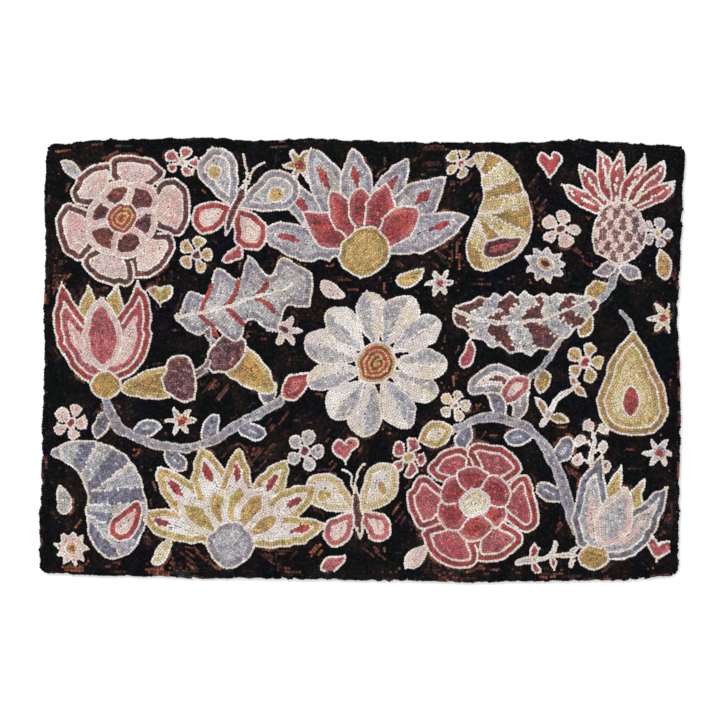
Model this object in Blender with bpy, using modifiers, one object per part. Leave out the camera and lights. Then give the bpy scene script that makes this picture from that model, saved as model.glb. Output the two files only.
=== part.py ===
"""A hand-hooked wool rug lying flat: one thick mat of yarn loops on a foundation cloth.

The mat is a grid fitted between four uneven edges, thickened, with its corners turned and
its rim rounded as the outermost loops round it. Lengths are in metres, +Z is up, +X runs
along the rug's length, and the origin is under the middle of the rug on the floor.
"""

import math

import bmesh
import bpy
from mathutils import Vector

# Driving dimensions
RUG_LENGTH = 0.9144
RUG_WIDTH = 0.628
FOUNDATION_THICKNESS = 0.0015
LOOP_HEIGHT = 0.0065
RUG_THICKNESS = FOUNDATION_THICKNESS + LOOP_HEIGHT

# How far each side stands outside the straight rectangle, at even steps from corner to corner
MILLIMETRE = 0.001
BACK_SIDE = (-8.0, 0.3, 1.0, 3.6, -1.1, 1.8, -1.1, -3.6, -3.6, -4.0, 0.2, -5.0, -9.7)
FRONT_SIDE = (-10.5, -6.8, -5.4, -2.5, -2.5, -1.6, 0.3, 1.0, 3.2, 2.5, 0.3, 0.3, -8.0)
LEFT_SIDE = (2.0, 2.4, -1.4, -1.4, -4.3, -3.6, -6.4, -4.3, -8.6)
RIGHT_SIDE = (-5.7, -4.3, -3.6, -1.4, -2.9, -5.7, -1.4, 1.4, 4.3)

# The mat's mesh
CELLS_ALONG = 36
CELLS_ACROSS = 24
CORNER_TURN = 0.0085
CORNER_STEPS = 3
RIM_ROUND = 0.0026
RIM_STEPS = 3
RIM_MIN_ANGLE = math.radians(60)

# The hand-hooked pile is a little higher in some places than in others
PILE_WAVE_HEIGHT = 0.0004
PILE_WAVES = (
    # waves along the length, waves across the width, phase
    (3.0, 1.0, 0.4),
    (5.0, -3.0, 1.9),
    (-2.0, 5.0, 3.1),
    (9.0, 4.0, 5.2),
)

WOOL_COLOUR = (0.012, 0.012, 0.016, 1.0)
WOOL_ROUGHNESS = 0.95


def clear_scene():
    for old in list(bpy.data.objects):
        bpy.data.objects.remove(old, do_unlink=True)


def smooth_offset(stations, share):
    """The side's offset at a share of its length, on a smooth curve through its stations."""
    place = share * (len(stations) - 1)
    step = min(int(place), len(stations) - 2)
    before, start, end, after = (
        stations[min(max(step + shift, 0), len(stations) - 1)] for shift in (-1, 0, 1, 2)
    )
    t = place - step
    curve = (
        2 * start
        + (end - before) * t
        + (2 * before - 5 * start + 4 * end - after) * t**2
        + (3 * start - before - 3 * end + after) * t**3
    )
    return 0.5 * curve * MILLIMETRE


def place_on_rug(along, across):
    """Where a grid point lies on the rug. along and across run from 0 to 1."""
    left = -RUG_LENGTH / 2 - smooth_offset(LEFT_SIDE, across)
    right = RUG_LENGTH / 2 + smooth_offset(RIGHT_SIDE, across)
    front = -RUG_WIDTH / 2 - smooth_offset(FRONT_SIDE, along)
    back = RUG_WIDTH / 2 + smooth_offset(BACK_SIDE, along)
    return Vector((left + (right - left) * along, front + (back - front) * across, 0.0))


def add_flat_grid():
    """The rug's plan as a flat grid, with its four corners turned."""
    bpy.ops.mesh.primitive_grid_add(x_subdivisions=CELLS_ALONG, y_subdivisions=CELLS_ACROSS, size=1.0)
    rug = bpy.context.object
    for point in rug.data.vertices:
        point.co = place_on_rug(point.co.x + 0.5, point.co.y + 0.5)

    plan = bmesh.new()
    plan.from_mesh(rug.data)
    corners = [point for point in plan.verts if len(point.link_edges) == 2]
    bmesh.ops.bevel(
        plan,
        geom=corners,
        offset=CORNER_TURN,
        segments=CORNER_STEPS,
        profile=0.5,
        affect="VERTICES",
    )
    plan.to_mesh(rug.data)
    plan.free()
    return rug


def apply_modifiers(rug):
    """Makes the evaluated mesh the object's own."""
    evaluated = rug.evaluated_get(bpy.context.evaluated_depsgraph_get())
    finished = bpy.data.meshes.new_from_object(evaluated)
    rug.modifiers.clear()
    rug.data = finished


def thicken(rug):
    """Gives the plan its thickness upwards from the floor, and rounds its rim."""
    solidify = rug.modifiers.new("thickness", "SOLIDIFY")
    solidify.thickness = RUG_THICKNESS
    solidify.offset = 1.0

    bevel = rug.modifiers.new("rounded rim", "BEVEL")
    bevel.width = RIM_ROUND
    bevel.segments = RIM_STEPS
    bevel.limit_method = "ANGLE"
    bevel.angle_limit = RIM_MIN_ANGLE
    apply_modifiers(rug)


def pile_lift(place):
    """How far the pile's top stands above or below its mean height."""
    lift = sum(
        math.sin(2 * math.pi * (along * place.x / RUG_LENGTH + across * place.y / RUG_WIDTH) + phase)
        for along, across, phase in PILE_WAVES
    )
    return PILE_WAVE_HEIGHT * lift


def shape_pile(rug):
    """Makes the underside one flat face, lets the pile's top wave, and centres the mat."""
    tiny = 1e-5
    mat = bmesh.new()
    mat.from_mesh(rug.data)
    underside = [face for face in mat.faces if face.calc_center_median().z < tiny]
    bmesh.ops.dissolve_faces(mat, faces=underside)

    for point in mat.verts:
        if point.co.z > RUG_THICKNESS - tiny:
            point.co.z += pile_lift(point.co)

    low = Vector(min(point.co[axis] for point in mat.verts) for axis in range(3))
    high = Vector(max(point.co[axis] for point in mat.verts) for axis in range(3))
    middle = Vector(((low.x + high.x) / 2, (low.y + high.y) / 2, low.z))
    bmesh.ops.translate(mat, vec=-middle, verts=mat.verts)

    waving_top = [face for face in mat.faces if face.calc_center_median().z > RUG_THICKNESS / 2]
    bmesh.ops.triangulate(mat, faces=waving_top)
    mat.to_mesh(rug.data)
    mat.free()
    rug.data.shade_smooth()
    rug.data.set_sharp_from_angle(angle=math.radians(50))


def wool_material():
    wool = bpy.data.materials.new("hooked_wool")
    wool.use_nodes = True
    shader = wool.node_tree.nodes["Principled BSDF"]
    shader.inputs["Base Color"].default_value = WOOL_COLOUR
    shader.inputs["Roughness"].default_value = WOOL_ROUGHNESS
    shader.inputs["Metallic"].default_value = 0.0
    return wool


def put_in_collection(rug):
    collection = bpy.data.collections.new("hooked_rug")
    bpy.context.scene.collection.children.link(collection)
    for old in list(rug.users_collection):
        old.objects.unlink(rug)
    collection.objects.link(rug)


def main():
    clear_scene()
    rug = add_flat_grid()
    thicken(rug)
    shape_pile(rug)
    rug.name = "hooked_rug"
    rug.data.name = "hooked_rug"
    rug.data.materials.clear()
    rug.data.materials.append(wool_material())
    put_in_collection(rug)


main()
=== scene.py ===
"""A hand-hooked wool rug, dressed over its CAD solid: a foundation cloth and the rows of yarn
loops hooked through it, lying flat on a pale floor under soft light.

The design is a scatter of flowers, leaves, fruit and butterflies on black. Each area of it is a
patch: its outline is one row of loops, and its rows inside follow that outline. Sizes of the rug
are in metres. The design is drawn in millimetres from the rug's middle, as on the back of a
foundation cloth, and turned into metres where its loops are made.
"""

import math
from collections import namedtuple
from functools import cache

import bpy
import numpy as np
from mathutils.bvhtree import BVHTree
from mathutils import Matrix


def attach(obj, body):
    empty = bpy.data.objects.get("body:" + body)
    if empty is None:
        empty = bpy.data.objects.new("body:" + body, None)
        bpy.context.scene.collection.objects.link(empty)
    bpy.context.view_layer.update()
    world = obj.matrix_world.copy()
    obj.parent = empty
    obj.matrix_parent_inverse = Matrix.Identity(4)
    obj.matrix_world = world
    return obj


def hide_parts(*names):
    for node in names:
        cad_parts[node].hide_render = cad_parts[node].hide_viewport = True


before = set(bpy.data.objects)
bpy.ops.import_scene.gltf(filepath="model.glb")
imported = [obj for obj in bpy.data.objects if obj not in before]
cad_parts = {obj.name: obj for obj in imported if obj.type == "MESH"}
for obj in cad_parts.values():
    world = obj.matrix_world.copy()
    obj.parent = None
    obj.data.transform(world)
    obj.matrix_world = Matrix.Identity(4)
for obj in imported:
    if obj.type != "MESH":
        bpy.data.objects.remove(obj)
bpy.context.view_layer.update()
RUG_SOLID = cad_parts["hooked_rug"]

bl_info = {
    "name": "Hooked Rug",
    "version": (1, 0, 0),
    "blender": (4, 5, 0),
    "location": "View3D > Sidebar > Hooked Rug",
    "description": "Hooks a wool rug loop by loop and lays it under soft light",
    "category": "Object",
}

MM = 0.001

# The photograph's frame
IMAGE_PIXELS = 720
METRES_PER_PIXEL = 0.001431
RUG_MIDDLE_PIXEL = (362.0, 359.8)
SENSOR_WIDTH = 36.0

# Heights on the rug, in metres. The second is for a loop that no part of the solid lies under.
PILE_TOP = 0.008
RIM_TOP = 0.006
CLOTH_LIFT = 0.0006


def from_screen(red, green, blue):
    """A colour seen on a screen, 0 to 255, as the linear colour that Blender works in."""
    channels = (value / 255 for value in (red, green, blue))
    return tuple(v / 12.92 if v <= 0.04045 else ((v + 0.055) / 1.055) ** 2.4 for v in channels)


# Settings


def length_setting(name, description, default, **limits):
    return bpy.props.FloatProperty(
        name=name, description=description, default=default, unit="LENGTH", subtype="DISTANCE", **limits
    )


def colour_setting(name, description, red, green, blue):
    return bpy.props.FloatVectorProperty(
        name=name,
        description=description,
        subtype="COLOR",
        size=3,
        min=0.0,
        max=1.0,
        default=from_screen(red, green, blue),
    )


class RugPile(bpy.types.PropertyGroup):
    """Sizes of the loops and of the cloth that they are hooked through."""

    row_pitch: length_setting("Row pitch", "Distance between two rows of loops", 0.00345)
    loop_pitch: length_setting("Loop pitch", "Distance between two loops of one row", 0.00375)
    loop_length: length_setting("Loop length", "A loop's size along its row", 0.0055)
    loop_width: length_setting("Loop width", "A loop's size across its row", 0.0050)
    unevenness: bpy.props.FloatProperty(
        name="Unevenness",
        description="How much the loops differ in size and lean",
        default=1.0,
        min=0.0,
        max=2.0,
    )
    cloth_thickness: length_setting("Cloth thickness", "Thickness of the foundation cloth", 0.0011)
    cloth_inset: length_setting("Cloth inset", "How far the cloth's edge lies inside the outline", 0.0020)


class RugYarns(bpy.types.PropertyGroup):
    """Colours of the hand-dyed yarns."""

    black: colour_setting("Black", "Ground yarn", 12, 12, 15)
    cream: colour_setting("Cream", "Yarn of the outlines", 211, 200, 194)
    light_grey: colour_setting("Light grey", "Palest of the grey yarns", 165, 162, 167)
    lavender_grey: colour_setting("Lavender grey", "Middle grey yarn", 140, 134, 145)
    blue_grey: colour_setting("Blue grey", "Darkest of the grey yarns", 112, 112, 130)
    brick: colour_setting("Brick", "Red yarn", 152, 60, 61)
    rose: colour_setting("Rose", "Pinkish red yarn", 164, 82, 89)
    pale_pink: colour_setting("Pale pink", "Palest of the red yarns", 206, 177, 170)
    maroon: colour_setting("Maroon", "Dark plum-brown yarn", 100, 56, 55)
    mauve_brown: colour_setting("Mauve brown", "Middle plum-brown yarn", 124, 88, 88)
    ochre: colour_setting("Ochre", "Darker of the yellow yarns", 166, 134, 80)
    gold: colour_setting("Gold", "Middle yellow yarn", 184, 153, 98)
    pale_gold: colour_setting("Pale gold", "Palest of the yellow yarns", 200, 187, 150)


class RugStudio(bpy.types.PropertyGroup):
    """The floor, the light and the camera."""

    floor: colour_setting("Floor", "Colour of the floor", 250, 250, 250)
    key_power: bpy.props.FloatProperty(
        name="Main light", description="Power of the large soft light", default=111.0, min=0.0, unit="POWER"
    )
    sky_strength: bpy.props.FloatProperty(
        name="Sky", description="Strength of the even light from all round", default=1.1, min=0.0
    )
    camera_height: length_setting("Camera height", "Height of the camera over the floor", 2.4)


# Drawing the design's outlines


CURVE_STEPS = 12


def smooth_line(points):
    """A smooth curve through a few points."""
    points = np.asarray(points, float)
    padded = np.vstack([2 * points[0] - points[1], points, 2 * points[-1] - points[-2]])
    share = np.linspace(0, 1, CURVE_STEPS, endpoint=False)[:, None]
    stretches = [
        0.5
        * (
            2 * start
            + (end - before) * share
            + (2 * before - 5 * start + 4 * end - after) * share**2
            + (3 * start - before - 3 * end + after) * share**3
        )
        for before, start, end, after in zip(padded, padded[1:], padded[2:], padded[3:])
    ]
    return np.vstack(stretches + [points[-1:]])


def even_steps(line, step, closed=False):
    """The same line with its points an even step apart."""
    if closed:
        line = np.vstack([line, line[:1]])
    along = np.concatenate([[0], np.cumsum(np.hypot(*np.diff(line, axis=0).T))])
    count = max(int(round(along[-1] / step)), 3)
    wanted = np.linspace(0, along[-1], count + 1)[: -1 if closed else None]
    return np.column_stack([np.interp(wanted, along, line[:, axis]) for axis in (0, 1)])


def headings(line, closed=False):
    """The direction of travel at each point of a line."""
    ahead = np.roll(line, -1, axis=0) - np.roll(line, 1, axis=0) if closed else np.gradient(line, axis=0)
    return ahead / np.maximum(np.hypot(*ahead.T), 1e-9)[:, None]


def left_of(ahead):
    return np.column_stack([-ahead[:, 1], ahead[:, 0]])


def turned(points, degrees):
    cosine, sine = math.cos(math.radians(degrees)), math.sin(math.radians(degrees))
    return points @ np.array([[cosine, sine], [-sine, cosine]])


NOISE_CELLS = 64


def soft_noise(x, y, size, seed):
    """Values from 0 to 1 that change smoothly over a distance of `size` millimetres."""
    lattice = np.random.default_rng(seed).random((NOISE_CELLS, NOISE_CELLS))
    u, v = x / size + NOISE_CELLS / 2, y / size + NOISE_CELLS / 2
    column, row = np.floor(u).astype(int), np.floor(v).astype(int)
    across, up = u - column, v - row
    across, up = across**2 * (3 - 2 * across), up**2 * (3 - 2 * up)
    left, right = column % NOISE_CELLS, (column + 1) % NOISE_CELLS
    near, far = (
        lattice[level, left] * (1 - across) + lattice[level, right] * across
        for level in (row % NOISE_CELLS, (row + 1) % NOISE_CELLS)
    )
    return near * (1 - up) + far * up


LEAF_STEPS = 60
Patch = namedtuple("Patch", "outline spine half_width yarns pattern count edge")


def patch(outline, spine, half_width, yarns, pattern="rows", count=1, edge="cream"):
    """One area of the design: its outline, the line its pattern follows, and its yarns."""
    outline, spine = np.asarray(outline, float), np.asarray(spine, float)
    return Patch(outline, spine, half_width, yarns, pattern, count, edge)


def placed(area, at=(0, 0), turn=0.0, mirrored=False, size=1.0):
    """The same patch sized and turned, then moved."""
    flip = np.array([1, -1 if mirrored else 1]) * size
    outline, spine = (
        turned(points * flip, turn) + np.asarray(at, float) for points in (area.outline, area.spine)
    )
    return area._replace(outline=outline, spine=spine)


def leaf(
    length, width, at=(0, 0), heading=0, bend=0, widest=1.0, roundness=0.8, lobes=0, lobe_depth=0.0, **look
):
    """A leaf, petal or drop. It starts at a point and runs along a spine that bends by some degrees."""
    share = np.linspace(0, 1, LEAF_STEPS + 1)
    turn = np.radians(bend) * (share[:-1] + share[1:]) / 2
    steps = np.column_stack([np.cos(turn), np.sin(turn)]) * length / LEAF_STEPS
    spine = np.vstack([[0, 0], np.cumsum(steps, axis=0)])
    half = width / 2 * np.sin(np.pi * np.clip(share, 1e-4, 1 - 1e-4) ** widest) ** roundness
    if lobes:
        half *= 1 - lobe_depth * (0.5 + 0.5 * np.cos(2 * np.pi * lobes * share))
    side = left_of(headings(spine)) * half[:, None]
    outline = np.vstack([spine + side, (spine - side)[-2:0:-1]])
    return placed(patch(outline, spine, width / 2, **look), at, heading)


def blade(size, length, width, at=(0, 0), **shape):
    """A leaf whose length, width and place are shares of a motif's size."""
    return leaf(size * length, size * width, (size * at[0], size * at[1]), **shape)


def ringed(radius, at=(0, 0), points=0, depth=0.0, **look):
    """A round patch, or a star with soft points."""
    angle = np.linspace(0, 2 * np.pi, 181)[:-1]
    reach = radius * (1 - depth + depth * np.cos(points * angle))
    outline = np.column_stack([reach * np.cos(angle), reach * np.sin(angle)])
    return placed(patch(outline, [(0, 0), (0.01, 0)], radius, **look), at)


def heart(size, **look):
    """A heart that points along +X."""
    angle = np.linspace(0, 2 * np.pi, 121)[:-1]
    across = 16 * np.sin(angle) ** 3
    along = 13 * np.cos(angle) - 5 * np.cos(2 * angle) - 2 * np.cos(3 * angle) - np.cos(4 * angle)
    outline = np.column_stack([-along, across]) * size / 32
    return patch(outline, [(-size * 0.4, 0), (size * 0.5, 0)], size / 2, **look)


def stem(points, width, taper=1.0, **look):
    """A stem through a few points, round at both ends."""
    spine = even_steps(smooth_line(points), 2.0)
    ahead = headings(spine)
    side = left_of(ahead)
    half = width / 2 * np.linspace(1, taper, len(spine))[:, None]
    cap = np.radians(np.linspace(80, -80, 9))[:, None]
    tip = spine[-1] + half[-1] * (np.cos(cap) * ahead[-1] + np.sin(cap) * side[-1])
    base = spine[0] - half[0] * (np.cos(cap) * ahead[0] + np.sin(cap) * side[0])
    outline = np.vstack([spine + side * half, tip, (spine - side * half)[::-1], base])
    return patch(outline, spine, width / 2, **look)


# The design's motifs. Each is a list of patches, the top-most first.

VEIN_WIDTH = 7.2
VEIN = dict(widest=0.5, roundness=0.5, yarns=("cream",))
GREYS = ("lavender_grey", "light_grey")


def fanned(petal, count, radius, start=0.0, span=360.0):
    """Copies of a petal round a centre, each pointing outwards, and no two quite the same."""
    step = span / count if span >= 360 else span / (count - 1)
    copies = []
    for index in range(count):
        angle = start + index * step + 2.5 * math.sin(2.3 * index + count)
        size = 1 + 0.06 * math.sin(1.9 * index + radius)
        copies.append(placed(petal, turned(np.array([radius, 0.0]), angle), angle, size=size))
    return copies


def rose(size, petals, eye):
    r = size / 2
    centre = ringed(r * 0.25, yarns=eye, pattern="rings")
    inner = blade(r, 0.52, 0.56, widest=1.5, roundness=0.55, yarns=petals[::-1])
    outer = blade(r, 0.72, 0.86, widest=1.7, roundness=0.5, yarns=petals, pattern="inlaid")
    return [centre] + fanned(inner, 6, r * 0.08, 30) + fanned(outer, 6, r * 0.28)


def daisy(size, petals):
    r = size / 2
    centre = ringed(r * 0.3, yarns=("brick", "gold"), pattern="rings")
    petal = blade(r, 0.78, 0.46, widest=1.5, roundness=0.6, yarns=petals, pattern="halves")
    return [centre] + fanned(petal, 11, r * 0.22)


def tulip(size, petals):
    cup = ringed(size * 0.13, at=(-size * 0.02, 0), yarns=("ochre",))
    front = blade(size, 0.62, 0.34, at=(0.1, 0), widest=0.85, roundness=0.75, yarns=petals[:0:-1])
    outer = dict(heading=38, bend=-34, widest=0.7, yarns=petals, pattern="inlaid")
    back = dict(heading=13, bend=-10, widest=0.9, yarns=("gold", "ochre"))
    sides = (
        blade(size, 0.95, 0.36, roundness=0.9, **outer),
        blade(size, 0.86, 0.24, roundness=0.9, **back),
    )
    return [cup, front] + [placed(side, mirrored=other) for side in sides for other in (False, True)]


def lotus(size, tall, short, cup):
    spread, root = 150.0, size * 0.06
    base = blade(size, 0.34, 0.34, at=(-0.16, 0), roundness=0.5, yarns=cup)
    front = blade(size, 0.42, 0.22, widest=1.1, roundness=0.75, yarns=short)
    mark = blade(size, 0.15, 0.05, at=(0.4, 0), widest=1.1, yarns=("brick",), edge="brick")
    back = blade(size, 0.68, 0.24, widest=1.15, roundness=0.75, yarns=tall)
    fans = fanned(front, 5, root, -spread * 0.34, spread * 0.68)
    for petal in (mark, back):
        fans += fanned(petal, 7, root, -spread / 2, spread)
    return [base] + fans


def thistle(size):
    checked = dict(yarns=("mauve_brown", "pale_pink"), pattern="checks", count=6)
    bulb = blade(size, 0.44, 0.42, widest=0.85, roundness=0.55, **checked)
    collar = blade(size, 0.2, 0.1, yarns=GREYS[:1])
    striped = dict(yarns=("rose", "brick"), pattern="halves")
    spike = blade(size, 0.5, 0.13, at=(0.02, 0), widest=1.2, roundness=0.85, **striped)
    crown = [placed(one, (size * 0.3, 0)) for one in fanned(spike, 7, 0.0, -54, 108)]
    return [bulb] + crown + fanned(collar, 2, 0.0, 120, 120)


def acorn(size):
    checked = dict(yarns=("maroon", "mauve_brown"), pattern="checks", count=5)
    cap = blade(size, 0.46, 0.66, at=(-0.1, 0), widest=0.9, roundness=0.45, **checked)
    nut = blade(size, 0.86, 0.5, at=(0.05, 0), widest=0.75, roundness=0.6, yarns=("gold", "ochre"))
    stalk_line = size * np.array([(-0.3, -0.12), (-0.16, -0.03), (0, 0)])
    return [cap, nut, stem(stalk_line, size * 0.12, yarns=("mauve_brown",), edge="light_grey")]


def paisley(size, body, core, bands):
    eye = blade(size, 0.4, 0.22, at=(0.16, 0), bend=25, widest=0.75, roundness=0.6, yarns=core)
    banded = dict(yarns=body, pattern="bands", count=bands)
    return [eye, blade(size, 1.25, 0.52, bend=150, widest=0.62, roundness=0.7, **banded)]


def banded_leaf(size, yarns, bend):
    vein = leaf(size * 0.92, VEIN_WIDTH, bend=bend, **VEIN)
    banded = dict(lobes=9, lobe_depth=0.16, pattern="chevrons", count=9)
    return [vein, blade(size, 1, 0.4, bend=bend, widest=0.85, roundness=0.7, yarns=yarns, **banded)]


def oak_leaf(size, yarns):
    vein = leaf(size * 0.86, VEIN_WIDTH, bend=18 * 0.86, **VEIN)
    body = blade(size, 1, 0.56, bend=18, widest=1.1, roundness=0.5, lobes=4, lobe_depth=0.5, yarns=yarns)
    side_veins = []
    for number, share in enumerate((0.2, 0.44, 0.68)):
        foot = vein.spine[int(share * LEAF_STEPS)]
        for side in (1, -1):
            tip = foot + np.array([0.11, side * (0.17 - 0.03 * number)]) * size
            line = [foot, (foot + tip) / 2 + [3, 0], tip]
            side_veins.append(stem(line, 7, yarns=("brick",), edge="brick"))
    return [vein] + side_veins + [body]


def butterfly(size, upper, lower):
    body = blade(size, 0.5, 0.1, at=(-0.26, 0), roundness=0.6, yarns=("maroon",))
    spot = ringed(size * 0.075, at=(size * 0.2, size * 0.27), yarns=("gold",))
    front = dict(heading=52, bend=-12, widest=1.6, yarns=upper, pattern="inlaid")
    back = dict(heading=128, bend=10, widest=1.5, yarns=lower)
    wings = [
        blade(size, 0.56, 0.36, roundness=0.55, **front),
        blade(size, 0.4, 0.27, roundness=0.55, **back),
    ]
    feeler = stem(size * np.array([(0.2, 0.01), (0.34, 0.03), (0.42, 0.1)]), 3.4, yarns=("cream",))
    half = [spot] + wings + [feeler]
    return [body] + half + [placed(one, mirrored=True) for one in half]


def pear(size):
    core = blade(size, 0.3, 0.16, at=(0.2, 0), widest=0.8, roundness=0.6, yarns=("brick",))
    skin = dict(yarns=("ochre", "gold", "pale_gold"), pattern="inlaid")
    fruit = blade(size, 1, 0.62, widest=0.62, roundness=0.75, **skin)
    stalk_line = size * np.array([(0.94, 0), (1.08, 0.04), (1.18, 0.12)])
    return [core, fruit, stem(stalk_line, 8, yarns=("mauve_brown",), edge="light_grey")]


def sprig(size, yarns, pairs=3, length=0.26):
    """A short curved stem with leaves in pairs, smaller towards its tip."""
    points = size * np.array([(0, 0), (0.33, 0.07), (0.66, 0.1), (1, 0.04)])
    line = even_steps(smooth_line(points), 1.0)
    parts = [stem(points, 9.5, taper=0.75, yarns=("light_grey",))]
    for pair in range(pairs):
        share = 0.2 + 0.72 * pair / (pairs - 1)
        reach = size * length * (1.15 - 0.35 * share)
        for side in (1, -1):
            one = blade(reach, 1, 0.54, bend=side * 20, widest=1.1, roundness=0.7, yarns=yarns)
            parts.append(placed(one, line[int(share * (len(line) - 1))], side * 58 + 12 * (1 - 2 * share)))
    return parts


def berries(size):
    """Round berries on short stalks, turn about on the two sides of a stem."""
    berry = dict(yarns=("brick", "pale_pink"), pattern="rings")
    stalk = dict(yarns=("light_grey",))
    points = size * np.array([(0, 0), (0.35, 0.06), (0.7, -0.02), (0.9, 0.02)])
    line = even_steps(smooth_line(points), 1.0)
    parts = [ringed(size * 0.1, at=line[-1], **berry)]
    stalks = [stem(points, 8.5, taper=0.8, **stalk)]
    for index, share in enumerate((0.22, 0.36, 0.52, 0.66, 0.82)):
        side = 1 if index % 2 else -1
        foot = line[int(share * (len(line) - 1))]
        tip = foot + np.array([0.1, side * 0.2]) * size
        parts.append(ringed(size * 0.095, at=tip, **berry))
        stalks.append(stem([foot, (foot + tip) / 2 + [2, 0], tip], 4, **stalk))
    return parts + stalks


def scroll(size, yarns, bend):
    """A broad ribbon that curls over, striped along its length."""
    return [blade(size, 1, 0.3, bend=bend, widest=0.8, roundness=0.55, yarns=yarns)]


def vine(points, bud, blades=("blue_grey", "light_grey"), width=15.5, leaves=6):
    """A long stem with leaves turn about on its two sides, and a bud at its end."""
    leaf_size = 46
    line = even_steps(smooth_line(points), 1.0)
    angles = np.degrees(np.arctan2(*headings(line).T[::-1]))
    tip = blade(leaf_size, 1.25, 0.8, widest=0.8, roundness=0.7, yarns=bud)
    stalk = stem(points, width, taper=0.8, yarns=GREYS, edge="light_grey")
    parts = [placed(tip, line[-1], angles[-1]), stalk]
    for index in range(leaves):
        spot = int((index + 0.7) / (leaves + 0.2) * (len(line) - 1))
        side = 1 if index % 2 else -1
        one = blade(leaf_size, 1, 0.56, bend=-side * 30, widest=1.1, roundness=0.7, yarns=blades)
        parts.append(placed(one, line[spot], angles[spot] + side * 58))
    return parts


def blossom(size, petals="rose", eye="gold"):
    petal = blade(size, 0.41, 0.36, widest=1.5, roundness=0.55, yarns=(petals,))
    return [ringed(size * 0.15, yarns=(eye,))] + fanned(petal, 5, size * 0.09)


def small_star(size, points="ochre", eye="brick"):
    return [
        ringed(size * 0.12, yarns=(eye,), edge=eye),
        ringed(size / 2, points=6, depth=0.26, yarns=(points,)),
    ]


def aster(size, petals, eye):
    return [
        ringed(size * 0.2, yarns=eye, pattern="rings"),
        ringed(size * 0.46, points=9, depth=0.13, yarns=(petals,)),
    ]


def small_heart(size, yarn="rose"):
    return [heart(size, yarns=(yarn,))]


def seed(size, yarn):
    return [blade(size, 1, 0.5, bend=30, widest=0.75, roundness=0.7, yarns=(yarn,))]


# How a hand-drawn line strays: how far in all, and over what distance, in millimetres
HAND_STRAYS = ((10, 62), (4.6, 12))


def drawn_by_hand(points):
    """The points moved a little to and fro, as a line that is drawn by hand on cloth."""
    x, y = points.T
    sway = [
        sum(
            reach * (soft_noise(x, y, size, first_seed + step) - 0.5)
            for step, (reach, size) in enumerate(HAND_STRAYS)
        )
        for first_seed in (3, 7)
    ]
    return points + np.column_stack(sway)


LEFT_VINE = [(-372, -36), (-350, -92), (-296, -122), (-232, -120), (-168, -88), (-118, -52)]
RIGHT_VINE = [(334, -276), (300, -232), (280, -160), (244, -104), (186, -82), (132, -98)]
TOP_VINE = [(366, 142), (352, 96), (310, 62), (268, 10), (238, -24)]


def all_motifs():
    """Each motif with its place, its turn in degrees and whether it is mirrored, the top-most first."""
    return (
        # Along the top
        (rose(188, ("maroon", "pale_pink"), ("gold", "brick")), -341, 202, 12),
        (butterfly(172, GREYS, ("brick", "pale_pink")), -178, 216, 70),
        (lotus(214, GREYS, ("rose", "brick"), ("ochre", "gold")), 2, 152, 92),
        (paisley(158, ("ochre", "pale_gold"), ("maroon", "rose"), 10), 150, 145, 12),
        (thistle(198), 366, 140, 88),
        # Across the middle
        (tulip(168, ("brick", "rose", "pale_pink")), -366, -30, 93),
        (oak_leaf(212, GREYS), -270, 62, 8),
        (acorn(108), -250, -26, 190),
        (acorn(106), -204, 16, -38, True),
        (daisy(214, ("cream", "light_grey")), 20, -4),
        (banded_leaf(222, ("maroon", "light_grey"), 52), 128, 70, -22),
        (pear(152), 386, -114, 88),
        # Along the bottom
        (paisley(172, ("blue_grey", "light_grey"), ("brick", "pale_pink"), 11), -378, -274, 40),
        (lotus(196, ("gold", "cream"), ("cream", "gold"), GREYS), -188, -264, 84),
        (butterfly(156, ("pale_gold", "cream"), ("rose", "pale_pink")), -8, -220, 96),
        (rose(184, ("brick", "rose"), ("pale_gold", "cream")), 160, -206),
        (tulip(156, ("blue_grey", "light_grey", "pale_pink")), 334, -282, 66),
        # Vines and sprigs between them
        (vine(LEFT_VINE, ("brick", "rose")), 0, 0),
        (vine(RIGHT_VINE, ("gold", "cream")), 0, 0),
        (vine(TOP_VINE, ("rose", "pale_pink"), ("ochre", "gold"), 13, 4), 0, 0),
        (berries(96), 334, -184, 96),
        (scroll(128, ("lavender_grey", "cream", "maroon"), -200), 158, -52, 68),
        (sprig(88, ("brick", "pale_pink")), 220, -288),
        (sprig(78, ("ochre", "gold"), pairs=2, length=0.36), 260, -96, 46),
        # Small fillers
        (blossom(54), -258, 284),
        (blossom(54, "pale_pink", "brick"), -418, -86),
        (blossom(58, "gold", "brick"), 322, -8),
        (blossom(58), 66, -142),
        (blossom(58, "light_grey", "maroon"), -84, -128),
        (blossom(56, "pale_pink", "maroon"), 284, 190),
        (blossom(46, "gold", "brick"), 142, 282),
        (blossom(52, "gold", "maroon"), -236, 150),
        (blossom(46, "pale_gold", "brick"), 134, -66),
        (aster(64, "light_grey", ("maroon", "gold")), 262, 134),
        (aster(54, "pale_pink", ("brick", "gold")), -414, -272),
        (small_star(44, "light_grey"), 424, -134),
        (small_star(42, "gold"), -262, -88),
        (small_star(50), -86, 276),
        (small_star(48, "pale_pink", "maroon"), -112, 42),
        (small_star(48, "pale_gold"), 430, 58),
        (small_star(42, "light_grey"), 108, 112),
        (small_heart(42, "brick"), 270, 284, -84),
        (small_heart(40), 424, -266, -98),
        (small_heart(38, "gold"), -288, 96, -95),
        (small_heart(42), -26, -128, -88),
        (blossom(46, "light_grey", "gold"), 424, 180),
        (seed(46, "gold"), 46, 114, 12),
        (seed(42, "rose"), -196, 140, 24),
        (seed(44, "rose"), 142, -14, 58),
        (seed(46, "light_grey"), -424, -222, 84),
        (seed(42, "pale_pink"), -58, 112, -50),
        (seed(44, "pale_gold"), -300, -286, 30),
        (seed(44, "pale_pink"), 60, -292, 20),
        (seed(44, "light_grey"), -430, 286, -50),
        (seed(46, "gold"), 430, 112, 80),
        (seed(42, "rose"), -62, -292),
    )


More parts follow.
